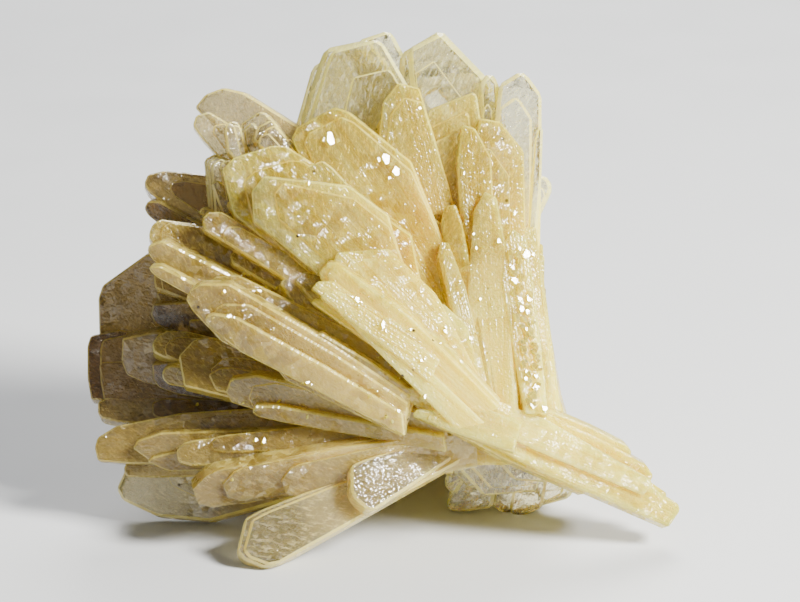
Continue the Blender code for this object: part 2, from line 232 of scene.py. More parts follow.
def add_crystal(corners, normal, axis, thickness, chamfer, clear, smoke_and_shade, gloss=0.0):
    """Cut one plate and put it aside, out of the scene, so that the next ones are cut just as quickly."""
    crystal = cut_plate(corners, normal, thickness, chamfer)
    mark(crystal, normal, axis, clear, smoke_and_shade, gloss)
    crystal.users_collection[0].objects.unlink(crystal)
    crystals.append(crystal)


def width_of(outline):
    """How wide an outline is, square to its length."""
    root, tip = root_and_tip(outline)
    axis = (tip - root).normalized()
    across = [(Vector(corner) - root).dot(Vector((axis.y, -axis.x))) for corner in outline]
    return max(across) - min(across)


def add_beside(row, look, length, width, swing, shift, lift, share, turn=0.0):
    """A plate like the main one; shift is a share of its width, lift and share of its thickness."""
    root_depth, tip_depth, main_turn, thickness, outline = row
    chamfer, clear, smoke_and_shade = look
    shape = changed(outline, length, width, swing, shift * width_of(outline))
    corners, normal, axis = lay_in_plane(shape, root_depth, tip_depth, main_turn + turn)
    raised = [corner + normal * (lift * thickness) for corner in corners]
    add_crystal(raised, normal, axis, share * thickness, chamfer, clear, smoke_and_shade)


# %% Layers, ledges and companions
def add_layer(row, look, side):
    """A thin layer that stands proud of one broad face: side is -1 for the front and 1 for the back."""
    length = dice.uniform(0.84, 0.985)
    width = dice.uniform(0.7, 0.94)
    shift = dice.choice((-1, 1)) * (1 - width) * dice.uniform(0.3, 0.6)
    lift = side * dice.uniform(0.16, 0.24)
    add_beside(row, look, length, width, swing=0, shift=shift, lift=lift, share=0.8)


def add_ledge(row, look, side):
    """A ledge along one side that ends before the tip."""
    length = dice.uniform(0.45, 0.86)
    shift = side * dice.uniform(0.07, 0.11)
    lift = dice.uniform(-0.08, 0.08)
    add_beside(row, look, length, width=0.9, swing=0, shift=shift, lift=lift, share=0.9)


def add_companion(row, look, side):
    """A slimmer crystal along one side of the main one, a little in front of it or behind it."""
    length = dice.uniform(0.84, 0.985)
    width = dice.uniform(0.42, 0.7)
    shift = side * dice.uniform(0.14, 0.26)
    lift = dice.choice((-0.5, -0.4, 0.4))
    swing = -side * dice.uniform(0.3, 1.6)
    add_beside(row, look, length, width, swing, shift, lift, share=0.8, turn=dice.uniform(-6, 6))


# %% Grow a group of crystals
def grow(rows, look, layers, ledges, companions):
    """Grow the crystals of a group: look is the width of their chamfers, how clear they are, and their smoky
    tint with painted shade.
    """
    before = len(crystals)
    for row in rows:
        root_depth, tip_depth, turn, thickness, outline = row
        corners, normal, axis = lay_in_plane(outline, root_depth, tip_depth, turn)
        add_crystal(corners, normal, axis, thickness, *look)
        for side in (-1, 1)[:layers]:
            add_layer(row, look, side)
        for side in (1, -1)[:ledges]:
            add_ledge(row, look, side)
        for side in (-1, 1)[:companions]:
            add_companion(row, look, side)
    print(len(rows), "crystals grown as", len(crystals) - before, "plates")


# %% [markdown]
# ## The upright plates
#
# The newest crystals stand at the top: thin, clear plates that show whatever is behind them and shine only
# along their rims. Each row holds the depth of the root, the depth of the tip, the turn about the length,
# the thickness and the outline, all in millimetres and degrees. Clear is 1 for glass and 0 for milk.

# %% Clear upright plates
upright_plates = [
    (6.0, 3.6, 4, 2.0, [(-3, 8), (-10.9, 56), (-11.1, 60.4), (-6, 63.1), (0.6, 56.3), (2.6, 50), (5, 8)]),
    (8.4, 6.0, 3, 2.0, [(-4, 8), (-12.5, 55), (-12.3, 59.7), (-6, 63.5), (1.3, 56), (4, 48), (7, 8)]),
    (9.0, 9.6, -3, 1.8, [(-4, 8), (-19.3, 58), (-18.8, 62.1), (-14.2, 63.6), (-13.3, 62.9), (-10.8, 58),
                         (1, 8)]),
    (6.2, 8.2, -5, 1.7, [(-6, 8), (-28.9, 47.4), (-26, 57.6), (-25.2, 58.4), (-18, 61), (-9, 50),
                         (2, 8)]),
    (5.0, 5.8, -4, 1.7, [(-6, 9), (-28, 49), (-24.8, 58.5), (-23.9, 60.6), (-17, 62), (-10.2, 53),
                         (2, 9)]),
    (3.6, 3.2, -2, 1.9, [(-5, 9), (-26.6, 49), (-23.2, 59.3), (-22.6, 60.1), (-16, 61.8), (-14.9, 61.2),
                         (-11, 54.5), (3, 9)]),
    (4.0, 2.6, 6, 1.6, [(2, 10), (-0.3, 54.2), (0.3, 55.7), (1.6, 56.8), (3.1, 55), (3.2, 50), (5, 10)]),
    (5.0, 2.0, 3, 2.6, [(2, 6), (2.4, 50), (3, 54.8), (6.2, 56.8), (7.2, 56.3), (9.5, 53.2), (9.5, 45),
                        (9, 6)]),
    (6.0, 4.6, 0, 5.5, [(5, 6), (8.1, 47.2), (8.7, 49), (9.7, 49), (10, 48.2), (9.4, 41), (8.6, 6)]),
    (8.0, 7.0, -8, 2.2, [(3.5, 25), (8.5, 40.7), (10, 41), (11, 40.2), (11.4, 38.8), (11, 37.8),
                         (5, 25)]),
]
grow(upright_plates, (0.75, 1.0, 0.0), layers=1, ledges=0, companions=0)


# %% [markdown]
# ## The wall on the right
#
# Stout, narrow crystals stand side by side under the plates and run down to the root. Their broad faces
# look to the right and to the front by turns, so the wall is ribbed and takes the light in stripes.

# %% Wall of stout crystals
wall_crystals = [
    (-6.6, -0.6, -5, 3.0, [(0.4, 4), (-1.9, 22), (-0.9, 35), (0.8, 38), (2.6, 37), (3.9, 30), (5.4, 4)]),
    (-7.0, -1.6, 9, 3.0, [(6.4, 4), (3.0, 24), (3.4, 30), (4.8, 32.2), (6.9, 30.6), (8.2, 22), (10, 4)]),
    (-6.2, -0.9, 3, 3.0, [(-0.8, 4), (-4.0, 20), (-4.2, 27), (-3.1, 29.4), (-1.4, 28), (0.3, 20),
                          (2.4, 4)]),
    (3.0, 4.0, 7, 6.0, [(3, 1), (5.8, 31), (6.2, 32.7), (8.3, 32.6), (12, 3)]),
    (5.5, 5.0, -7, 5.0, [(5, 0), (7, 23), (7.6, 25.3), (9.1, 24.6), (13.3, 2.9)]),
    (4.0, 4.6, 14, 3.6, [(6, 5), (7.4, 29.2), (8.4, 30.3), (9.3, 30.1), (9.8, 29), (9.4, 25.5),
                         (9.3, 5)]),
    (-0.5, 1.6, 25, 3.4, [(5, 2), (4.2, 24), (5.5, 30), (8.2, 29.4), (8.7, 24), (10.6, 3)]),
    (-5.0, 0.0, -11, 4.0, [(-0.5, 4), (-5.7, 33), (-5.2, 35.6), (-3.5, 36), (-2.4, 33), (3.2, 4)]),
    (-3.0, 1.0, 9, 4.0, [(1.5, 4), (-3.2, 36), (-2.2, 39), (-0.8, 38.5), (0.4, 35), (5, 4)]),
    (-1.5, 1.4, -16, 3.6, [(3, 4), (0, 30), (0.8, 33.6), (2.4, 33), (3.6, 28), (7, 4)]),
    (-3.5, 0.4, 18, 3.0, [(3.4, 3), (2.4, 21.5), (3.2, 24.5), (4.8, 23.6), (5.5, 20), (7.6, 3)]),
    (-6.5, -2.0, 13, 3.0, [(-1.6, 5), (-6.7, 28), (-6.3, 30.2), (-5.1, 30), (-2.8, 24), (1.6, 5)]),
    (-6.8, -3.0, -9, 3.0, [(1, 4), (-1.8, 18), (-1, 21.6), (0.4, 21), (1.1, 17), (4, 4)]),
]
grow(wall_crystals, (0.22, 0.6, 0.0), layers=1, ledges=1, companions=0)


# %% [markdown]
# ## The middle of the fan
#
# Nearer to the root the stone is milky. Wide plates lie behind one another like tiles, and each shows the
# stepped end of its growth. The plates on the upper left shoulder are short, and clearer at their tips.

# %% Milky middle plates
middle_plates = [
    (3.2, 0.8, 3, 2.6, [(-5, 9), (-15.6, 47), (-15, 52), (-12.6, 55), (-9.4, 54.2), (-5, 40), (2, 9)]),
    (3.4, 2.2, -4, 2.4, [(-4, 8), (-8.5, 48), (-7.6, 51), (-1, 53.6), (-0.4, 53), (1.6, 40), (4, 8)]),
    (2.6, 0.4, 8, 2.4, [(-1, 8), (-1.5, 44), (0, 49.5), (3, 49), (6.6, 44.5), (7.6, 8)]),
    (1.0, 0.2, -4, 3.4, [(-5, 8), (-27, 42.2), (-28.9, 46.4), (-28, 48.2), (-22.2, 51.2), (-20, 50.4),
                         (-10.5, 42.8), (3, 10)]),
    (-1.0, -1.6, 6, 3.2, [(-6, 8), (-38, 34.6), (-39.7, 41.4), (-37.8, 43.3), (-32, 45.1), (-29.8, 45),
                          (-14, 35), (-3, 14)]),
    (-3.8, -4.6, -4, 3.2, [(-11, 14), (-34.6, 33.6), (-34.9, 38.2), (-33, 40.5), (-20, 39), (-14, 34.5),
                           (-9, 18)]),
]
grow(middle_plates, (0.26, 0.72, 0.06), layers=1, ledges=1, companions=1)


# %% Plates on the upper left shoulder
shoulder_plates = [
    (4.4, 3.6, 11, 1.5, [(-28, 29), (-41.9, 35), (-42.6, 43.2), (-41, 44.1), (-38, 43), (-27, 34)]),
    (3.2, 2.2, 11, 1.3, [(-28, 29), (-41.4, 34.6), (-42.1, 42.8), (-40.6, 43.7), (-38, 42.6), (-27, 34)]),
    (1.8, 0.8, 11, 1.7, [(-27, 29), (-40.8, 34.3), (-41.5, 42.2), (-40, 43.3), (-38, 42.2), (-26, 34)]),
    (5.0, 8.6, -8, 3.2, [(-6, 9), (-42.2, 49.5), (-44.2, 51.4), (-42.4, 53.6), (-39.6, 54.6),
                         (-36.3, 53.8), (-27, 48), (0, 16)]),
    (4.0, 6.0, 7, 3.0, [(-6, 8), (-40.8, 43.8), (-43, 46.3), (-44.5, 48.4), (-44, 50), (-42, 50.6),
                        (-34, 45.8), (-2, 14)]),
    (2.4, 3.4, 6, 3.2, [(-36.6, 41.5), (-39.3, 44.4), (-39.4, 48.2), (-38.4, 49), (-37.2, 48.6),
                        (-36.6, 46), (-35.6, 41.5)]),
    (3.0, 4.6, -10, 3.0, [(-33, 40), (-37, 46), (-36.6, 48.8), (-33.8, 50.6), (-32.8, 50.4),
                          (-29.8, 46.6), (-27, 40)]),
    (0.8, 0.6, 13, 3.0, [(-30, 42), (-35.1, 46), (-34.4, 48), (-32.4, 49.1), (-31.7, 48.4), (-30, 46.4),
                         (-27.2, 42)]),
]
grow(shoulder_plates, (0.3, 0.86, 0.5), layers=1, ledges=1, companions=1)


# %% [markdown]
# ## The blades on the left
#
# These are long and lie almost flat, one above the other, with blunt faceted tips. The ones in front are
# pale, with a little tan that is painted shade. The ones behind them are longer and smoky, and brown where
# they are thick; part of that brown is painted shade on this side, away from the main light.

# %% Pale blades on the left
left_blades = [
    (0.6, 2.2, 11, 3.4, [(-6, 5), (-48.8, 28.7), (-51, 30.6), (-51, 31.7), (-50.5, 32.9), (-49.3, 33.7),
                         (-44, 33), (-6, 13)]),
    (-2.6, -0.6, -18, 3.2, [(-6, 1.5), (-49.9, 27.9), (-50.8, 29.2), (-50.6, 30.3), (-48.4, 31),
                            (-6, 9.5)]),
    (-2.4, -2.2, 13, 3.0, [(-6, 9), (-42.4, 32), (-42.7, 33.7), (-41.8, 34.7), (-39.8, 34.8), (-6, 16)]),
    (1.0, 2.0, -9, 2.4, [(-28, 28), (-42.6, 34.6), (-43.3, 35.1), (-42.7, 35.9), (-41.4, 35.7),
                         (-28, 32)]),
    (-8.0, -8.6, -13, 3.4, [(-11.3, 1.2), (-39.3, 15.6), (-43.7, 20.3), (-44.6, 22), (-43.9, 23.4),
                            (-42.4, 24.3), (-38, 24.3), (-23, 15.6), (-10.5, 7.2)]),
    (-5.4, -5.6, 15, 3.0, [(-8, 4), (-40.6, 22), (-41.6, 23.6), (-40.6, 24.8), (-37, 25), (-8, 11)]),
    (-3.4, -3.2, 26, 3.4, [(-5, 3), (-28, 19), (-31, 23.6), (-29, 25.4), (-24, 24.8), (-4, 12)]),
    (2.6, 3.6, 18, 3.2, [(-6, 1), (-49.1, 12.3), (-50.4, 13), (-50.7, 14.3), (-49.9, 15.6),
                         (-48.3, 16.4), (-45, 16.2), (-6, 7)]),
    (0.2, 1.2, -11, 2.8, [(-6, 1.4), (-47.8, 8.7), (-48.7, 9.5), (-48.9, 10.4), (-48.5, 11.3),
                          (-47.4, 11.7), (-6, 6.5)]),
    (-3.2, -2.0, 13, 3.6, [(-5, 0), (-34, 5.2), (-45.3, 8), (-46.2, 12.6), (-44, 15), (-42, 15.5),
                           (-38, 15), (-5, 7)]),
    (-4.8, -4.0, -20, 3.0, [(-5, -1), (-33.8, 5), (-38, 6.3), (-38.8, 8), (-38, 10), (-34, 10.5),
                            (-5, 4.5)]),
]
grow(left_blades, (0.26, 0.72, 0.3), layers=1, ledges=2, companions=1)


# %% Smoky blades behind them
smoky_blades = [
    (5.0, 8.4, 13, 3.6, [(-6, 8), (-51.4, 37.8), (-52.2, 39.3), (-51.6, 40.7), (-49, 41.3), (-41, 40.6),
                         (-6, 16)]),
    (4.0, 6.0, -15, 2.8, [(-6, 7), (-49.3, 33.4), (-51.2, 34.9), (-51.8, 36), (-51.2, 37.1),
                          (-49.4, 37.1), (-6, 13)]),
    (6.4, 7.4, 11, 3.2, [(-6, 6), (-50.4, 23.1), (-50.7, 25.2), (-50, 25.9), (-6, 12)]),
    (5.6, 6.6, -13, 3.2, [(-6, 3), (-50.1, 18), (-50.9, 19.5), (-50.5, 21.2), (-44, 21.6), (-6, 9)]),
    (8.0, 11.4, -9, 3.6, [(-4, 4), (-59.2, 16), (-59.3, 22), (-58.6, 24), (-51.5, 29), (-4, 12)]),
    (7.4, 9.6, 11, 4.0, [(-4, 1), (-60.3, 5.7), (-60.9, 9), (-61, 14), (-60.5, 15.6), (-56, 16.6),
                         (-4, 8)]),
    (4.6, 6.0, -15, 3.6, [(-4, 1.6), (-51.5, 8.9), (-54.6, 10.3), (-55.4, 12.4), (-55.2, 16), (-50, 17),
                          (-4, 8)]),
    (5.0, 7.6, 15, 4.2, [(-4, -1), (-55.8, 2.1), (-58.5, 2.7), (-59.1, 3.3), (-59.2, 5.2), (-57, 6),
                         (-4, 5)]),
]
grow(smoky_blades, (0.26, 0.7, 0.95), layers=1, ledges=2, companions=1)


# %% [markdown]
# ## The low blades and the feet
#
# The cluster rests on its lowest blades. The front one is clear and ends in a pointed outline just over the
# ground, and small clear plates hang under the root. What reaches below the ground is cut off later.

# %% Low blades
lower_blades = [
    (1.0, 3.4, 6, 4.2, [(-4, -4.6), (-54, -3.9), (-58.8, -3.5), (-59.3, -1.5), (-58.9, 0.1), (-56, 1.9),
                        (-46, 3.9), (-30, 5), (-4, 4)]),
    (-0.8, 1.0, -10, 3.2, [(-4, -3.4), (-50, -3.5), (-53.4, -1), (-52.6, 0.2), (-49, 1.4), (-4, 3)]),
    (-2.8, -1.8, 11, 3.8, [(-4, -3), (-44, -4.1), (-46.2, -3.5), (-46.5, -1.9), (-45.4, -0.6),
                           (-43.5, -0.2), (-30, 1.5), (-4, 3)]),
    (-2.6, -6.4, -19, 4.2, [(-1, -3), (-11, -4.6), (-30, -7.7), (-41, -9.4), (-43.2, -8.8), (-44, -6.6),
                            (-42, -4.6), (-40.3, -3.8), (-22, -0.2), (-1, 2)]),
]
grow(lower_blades, (0.26, 0.7, 0.5), layers=1, ledges=2, companions=1)


# %% The two lowest and clearest
clear_blades = [
    (3.4, 7.0, 8, 4.2, [(-4, -2.6), (-41.5, -12.9), (-49.8, -12.2), (-55.2, -9.7), (-56.1, -8),
                        (-54.6, -4.6), (-50, -3.4), (-4, 0.6)]),
    (-2.0, -9.0, 13, 3.8, [(-3, -3.4), (-31.3, -19.1), (-33, -19.4), (-36, -18.2), (-37.1, -16.9),
                           (-35.9, -12), (-33.4, -10.7), (-3, 1)]),
]
grow(clear_blades, (0.4, 0.92, 0.5), layers=1, ledges=1, companions=0)


# %% Clear feet under the root
foot_plates = [
    (6.0, 11.4, 5, 3.0, [(4, -1), (2.4, -10.5), (-2.5, -11.3), (-4.3, -11.1), (-4.9, -10.2),
                         (-3.4, -6.6), (0, -1)]),
    (4.0, 6.6, -6, 2.6, [(0, -1), (-1.2, -5), (-3.6, -6.5), (-5.2, -7), (-4.8, -5.2), (-0.6, -1)]),
    (6.4, 8.8, 8, 2.4, [(0, -3), (-3.4, -8.6), (-4.6, -8.1), (-5.3, -6.8), (-4.8, -5.4), (-2, -2)]),
    (6.4, 12.4, -5, 3.2, [(11, -2), (10.2, -10.3), (6, -11.3), (3.8, -11.2), (2.2, -10), (3, -2)]),
    (7.6, 10.6, 6, 2.8, [(13, -2), (14.9, -7.8), (14.2, -9.1), (9, -10.6), (7, -9), (7, -2)]),
    (2.0, 6.4, 0, 5.0, [(10, 0), (8.4, -7.4), (0, -8), (-4.4, -3), (-4, 1)]),
]
grow(foot_plates, (0.5, 0.95, 0.0), layers=1, ledges=1, companions=1)


# %% [markdown]
# ## The crossing blades
#
# Some crystals grew across all the others. Three cream blades lie in front, from the middle of the fan down
# to the root, three more run past it to the lower right, and a short one covers the spot where they meet.
# They are the least clear of all the crystals that can be seen.

# %% Blades that cross in front
crossing_blades = [
    (-9.8, -8.6, 6, 3.0, [(5, -2), (-5, 3), (-12.5, 5.8), (-11.3, 8.1), (-6, 8.4), (6, 2.6)]),
    (-7.8, -2.0, -12, 3.4, [(-8, 7), (-4, 8), (12, 1.5), (30, -9.9), (30.2, -10.9), (28.4, -13.4),
                            (10, -5.3), (-7.2, 3.6)]),
    (-5.0, 0.6, 9, 3.4, [(-2, 9), (13.2, 2.9), (20, -0.4), (25.4, -3.6), (26.4, -5.1), (26, -6),
                         (10, -3), (-2, 1)]),
    (-4.0, 0.4, -10, 2.6, [(0, 4), (24.5, -5.5), (28.5, -8.3), (28.2, -9.4), (22, -8), (0, -1)]),
    (-10.4, -11.4, 9, 2.6, [(-8, 9), (-25.7, 23.2), (-24.9, 24.2), (-22.5, 24.3), (-6, 13)]),
    (-8.6, -9.4, -8, 3.6, [(-4, 2), (-17.6, 17.1), (-24.2, 24.8), (-24.5, 26), (-23.1, 27.4),
                           (-21.6, 27.4), (-11, 19.9), (3, 5.5)]),
    (-6.6, -6.8, 10, 3.2, [(-3, 8), (-22.6, 27.2), (-22, 28.6), (-14.2, 29.2), (-7, 22.3), (0, 8)]),
]
grow(crossing_blades, (0.22, 0.45, 0.0), layers=1, ledges=2, companions=1)


# %% [markdown]
# ## The root
#
# Inside the fan is a stout middle that can hardly be seen, but it joins all the blades, as in the real
# stone. Without it there would be hollows where light could enter and never come out again.

# %% Stout crystals inside
root_crystals = [
    (4.0, 4.6, 0, 14, [(-6, -4), (-9, 2), (-8, 8), (0, 12), (8, 9), (10.5, 0), (5, -4)]),
    (12.0, 13.0, 8, 10, [(-6, -4), (-12, 2), (-10, 10), (-2, 13), (4, 9), (6, -4)]),
    (5.0, 9.0, 4, 12, [(-4, -3), (-36, -3.5), (-39, -1), (-38, 4), (-4, 7)]),
    (5.0, 10.0, -5, 12, [(-4, 0), (-36, 7), (-39, 10), (-36, 16), (-4, 10)]),
    (5.0, 10.0, 5, 12, [(-6, 2), (-32, 17), (-35, 22), (-30, 27), (-3, 12)]),
    (5.0, 9.0, -4, 12, [(-7, 5), (-25, 28), (-25, 33), (-18, 37), (0, 11)]),
    (5.0, 8.0, 3, 10, [(-5, 6), (-13, 38), (-10, 43), (-3, 42), (4, 8)]),
]
grow(root_crystals, (0.3, 0.3, 0.1), layers=0, ledges=0, companions=0)


# %% [markdown]
# ## The back
#
# The fan is round behind as well, so that it looks grown from every side. Blades leave a second spot behind
# the root. Each is given by its tip, width, thickness and turn, and its end is a roof of two unlike slopes.

# %% Blades at the back
LEFT_SLOPE, RIGHT_SLOPE = 0.4, 0.55     # how far each slope comes down, as a share of the width
BACK_GROWTH = [                         # shift and share of the width, share of the length, lift
    (0.0, 0.84, 0.96, 0.2),
    (0.24, 0.6, 0.92, -0.4),
    (-0.24, 0.66, 0.96, 0.4),
]
back_root = Vector((-2, 11, 4))
back_blades = [
    ((-31, 26, 4), 16, 13, 10), ((-27, 27, 18), 16, 13, -12), ((-18, 28, 28), 16, 12, 14),
    ((-6, 25, 30), 15, 12, -10), ((-14, 35, 7), 18, 14, 12), ((3, 22, 15), 12, 12, -20),
    ((-50, 18, 11), 8, 4.0, 20), ((-41, 15, 37), 7, 3.6, -40), ((-31, 15, 46), 8, 3.4, 28),
    ((-20, 14, 51), 9, 3.0, -24), ((-7, 13, 51), 9, 3.0, 18), ((4, 12, 44), 7, 3.2, -30),
    ((-45, 23, 22), 9, 4.0, -25), ((-36, 23, 35), 9, 4.0, -15), ((-23, 23, 44), 10, 3.6, 12),
    ((-9, 21, 45), 9, 3.6, 25), ((3, 19, 38), 8, 3.6, -12), ((8, 19, 26), 7, 3.8, 30),
    ((-41, 30, 11), 8, 4.2, 55), ((-32, 33, 25), 9, 4.4, 25), ((-17, 33, 36), 9, 4.0, -35),
    ((-3, 29, 32), 8, 3.8, 15), ((-33, 38, 4), 8, 4.2, -60), ((-24, 40, 16), 9, 4.2, 35),
    ((-10, 39, 21), 9, 4.2, -10), ((4, 32, 17), 8, 4.2, 40), ((9, 25, 6), 7, 4.0, -30),
    ((-42, 22, -4), 8, 4.4, 80), ((-30, 34, -4), 10, 5.4, 84), ((-17, 40, -2), 11, 6.0, 70),
    ((-3, 36, 0), 10, 5.6, -75), ((8, 26, -5), 10, 5.4, 78),
]


def back_outline(tip, width, turn):
    """Corners, normal and length direction of a blade at the back."""
    axis = (tip - back_root).normalized()
    normal = square_to(axis, turn)
    side = normal.cross(axis)
    length = (tip - back_root).length
    left_eave = length - LEFT_SLOPE * width
    right_eave = length - RIGHT_SLOPE * width
    # across as a share of the width, along in millimetres: narrow at the root and widest at the eaves
    shape = [(-0.35, 0), (-0.5, left_eave), (-0.15, length), (0.1, length), (0.5, right_eave), (0.35, 0)]
    corners = [back_root + side * (across * width) + axis * along for across, along in shape]
    return corners, normal, axis


# %% Grow the back
def grow_back(look, tip, width, thickness, turn):
    """A blade at the back with a layer on it and two slimmer companions."""
    tip = Vector(tip)
    corners, normal, axis = back_outline(tip, width, turn)
    add_crystal(corners, normal, axis, thickness, *look)
    across = normal.cross(axis) * width
    for shift, share, length, lift in BACK_GROWTH:
        end = back_root + (tip - back_root) * (length * dice.uniform(0.94, 1.02)) + across * shift
        spin = turn if shift == 0 else turn + dice.uniform(-9, 9)
        corners, normal, axis = back_outline(end, width * share, spin)
        raised = [corner + normal * (thickness * lift) for corner in corners]
        add_crystal(raised, normal, axis, thickness * 0.85, *look)


before = len(crystals)
for blade in back_blades:
    grow_back((0.26, 0.7, 0.35), *blade)
print(len(back_blades), "blades at the back, as", len(crystals) - before, "plates")


# %% [markdown]
# ## Broken faces that glint
#
# Where a blade has chipped, a small fresh face is left, as smooth as glass, and the ones that happen to face
# the light flash white. They are real little crystals here, set where a line from the front meets the
# cluster. A strip of the wall is broken all over, and its many small faces lean this way and that by a few
# degrees.

# %% Set a chip on the cluster
TO_LIGHT = Vector((0.40, -0.88, 0.25)).normalized()     # a face square to this glints towards the front
CHIP_CORNERS = 5
CHIP_THICKNESS = 0.9                    # half of it sinks into the crystal it sits on
CHIP_CHAMFER = 0.04
IN_FRONT = -200                         # a depth well in front of the cluster

points, faces = [], []
for crystal in crystals:
    known = len(points)
    points += [vert.co.copy() for vert in crystal.data.vertices]
    faces += [[known + index for index in face.vertices] for face in crystal.data.polygons]
all_faces = BVHTree.FromPolygons(points, faces)


def front_of_cluster(x, z):
    """The point where a line from the front first meets a crystal."""
    return all_faces.ray_cast(Vector((x, IN_FRONT, z)), BACKWARD)[0]


def add_chip(x, z, width, height, lean, clear=0.5):
    """A smooth little face of about this size, turned away from the light by up to lean degrees."""
    normal = TO_LIGHT.copy()
    normal.rotate(Euler([math.radians(dice.uniform(-lean, lean)) for turn in "xyz"]))
    side = normal.cross(Vector((dice.uniform(-0.5, 0.5), 0, 1))).normalized()
    axis = side.cross(normal)
    middle = front_of_cluster(x, z)
    corners = []
    for step in range(CHIP_CORNERS):
        angle = math.radians(360 / CHIP_CORNERS * step + dice.uniform(-26, 26))
        corners.append(middle + side * (width / 2 * math.cos(angle)) - axis * (height / 2 * math.sin(angle)))
    add_crystal(corners, normal, axis, CHIP_THICKNESS, CHIP_CHAMFER, clear, smoke_and_shade=0.0, gloss=1.0)


# %% Single glints
glints = [                              # x, z, width and height
    (-23.1, 46.2, 1.5, 2.4), (-14.6, 43.1, 1.5, 2.0), (-13.1, 41.2, 1.3, 1.8), (-32.3, 23.4, 1.8, 1.2),
    (-38.2, 18.9, 0.9, 0.7), (-18.9, 21.5, 0.9, 1.1), (-15.0, 17.7, 0.8, 1.6), (6.8, 28.5, 1.5, 1.7),
    (-9.4, 50.9, 0.7, 0.6), (2.6, 30.5, 0.6, 1.2), (-36.2, 25.6, 0.9, 0.6), (-26.4, 9.0, 0.9, 0.6),
]
for x, z, width, height in glints:
    add_chip(x, z, width, height, lean=1.5)
    for side in (-1, 1):
        beside = x + side * width * dice.uniform(0.5, 0.9)
        level = z + height * dice.uniform(-0.6, 0.6)
        add_chip(beside, level, width * 0.5, height * 0.4, lean=5)
print(len(glints), "chips with two splinters each")

# %% The broken strip, and small chips all over the front
STRIP_FACES = 64
STRIP_FOOT, STRIP_TOP = 5, 29           # from this height to this one
STRIP_SIDE = 5.5                        # how far to the right it is at the top
STRIP_SLANT = 0.115                     # how far it runs to the right for each millimetre down
SCATTERED = 64
FAN_MIDDLE = 5                          # the scattered chips spread around this height

strip = []
for step in range(STRIP_FACES):
    z = STRIP_FOOT + (STRIP_TOP - STRIP_FOOT) * step / STRIP_FACES
    x = STRIP_SIDE + STRIP_SLANT * (STRIP_TOP - z) + dice.uniform(-1.3, 1.3)
    strip.append((x, z, dice.uniform(0.5, 1.3), dice.uniform(0.6, 1.8)))
for x, z, width, height in strip:
    add_chip(x, z, width, height, lean=11, clear=0.7)
for step in range(SCATTERED):
    angle = math.radians(dice.uniform(75, 200))
    far = dice.uniform(8, 44)
    size = dice.uniform(0.25, 0.65)
    height = size * dice.uniform(0.7, 1.8)
    add_chip(far * math.cos(angle), FAN_MIDDLE + far * math.sin(angle), size, height, lean=7)
print("the strip has", len(strip), "small faces, and", SCATTERED, "more are scattered over the front")


# %% [markdown]
# ## One piece of stone
#
# The real cluster is one solid, so the plates are joined by a Boolean union, which takes a whole collection
# at once. The manifold solver is quick with hundreds of plates, leaves no open edges, and hands on the
# numbers that each face carries. Closed hollows between the plates would show as bubbles in the clear stone,
# so only the outer skin is kept: from one point of it, everything linked to it is selected.

# %% Join all plates
first = crystals[0]
bpy.context.scene.collection.objects.link(first)
others = bpy.data.collections.new("plates_to_join")
bpy.context.scene.collection.children.link(others)
for crystal in crystals[1:]:
    others.objects.link(crystal)
deselect_all()
bpy.context.view_layer.objects.active = first
first.select_set(True)
union = first.modifiers.new("grown_together", "BOOLEAN")
union.operation = "UNION"
union.operand_type = "COLLECTION"
union.collection = others
union.solver = "MANIFOLD"
bpy.ops.object.modifier_apply(modifier=union.name)
for crystal in crystals[1:]:
    bpy.data.objects.remove(crystal)
bpy.data.collections.remove(others)
print(len(crystals), "plates became one mesh of", len(first.data.polygons), "faces")

# %% Keep the outer skin
barite = first
barite.name = "barite_crystals"
barite.data.name = "barite_crystals"
outermost = max(barite.data.vertices, key=lambda vert: vert.co.length).index
bpy.ops.object.mode_set(mode="EDIT")
bpy.ops.mesh.select_mode(type="VERT")
bpy.ops.mesh.select_all(action="DESELECT")
bpy.ops.object.mode_set(mode="OBJECT")
barite.data.vertices[outermost].select = True
bpy.ops.object.mode_set(mode="EDIT")
bpy.ops.mesh.select_linked()
bpy.ops.mesh.select_all(action="INVERT")
bpy.ops.mesh.delete(type="VERT")
bpy.ops.object.mode_set(mode="OBJECT")
print(len(barite.data.polygons), "faces are on the outer skin")

# %% [markdown]
# ## Stand it up
#
# Now the mesh is turned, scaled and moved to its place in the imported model. Applying the transform leaves
# the object itself at the origin, with its place in its mesh. Whatever dips below the surface it stands on is
# bisected away, and the cut is filled, which gives the small flat spots that a cluster rests on.

# %% Turn, scale, place and cut flat
GROUND = (0, 0, 0)
DOWN = (0, 0, -1)
NEAR_GROUND = 1e-7                      # corners nearer than this to the ground lie on it, in metres
barite.matrix_world = stand
bpy.ops.object.transform_apply(location=True, rotation=True, scale=True)
bpy.ops.object.mode_set(mode="EDIT")
bpy.ops.mesh.select_all(action="SELECT")
bpy.ops.mesh.bisect(plane_co=GROUND, plane_no=DOWN, use_fill=True, clear_outer=True, threshold=NEAR_GROUND)
bpy.ops.mesh.select_all(action="DESELECT")
bpy.ops.mesh.select_non_manifold()
bpy.ops.object.mode_set(mode="OBJECT")
bpy.ops.object.shade_flat()
open_edges = sum(edge.select for edge in barite.data.edges)
print("after the cut there are", open_edges, "open edges")
print("the cluster is", in_mm(barite.dimensions), "mm, and its solid", in_mm(solid_high - solid_low))


# %% [markdown]
# ## The stone
#
# Barite is glassy, heavy and soft enough to scratch. Where the crystals are thin and free of flaws it is
# clear; towards the root fine flaws scatter the light, so it turns milky, then creamy. Where stone lies
# behind stone between the blades it is honey-coloured, and that honey is painted shade. One principled shader
# does both: its transmission gives the clear part and its subsurface scattering the milk. First come a few
# helpers that add a node and return its result.

# %% Helpers for nodes
stone = bpy.data.materials.new("barite_stone")
stone.use_nodes = True
tree = stone.node_tree
shader = tree.nodes["Principled BSDF"]


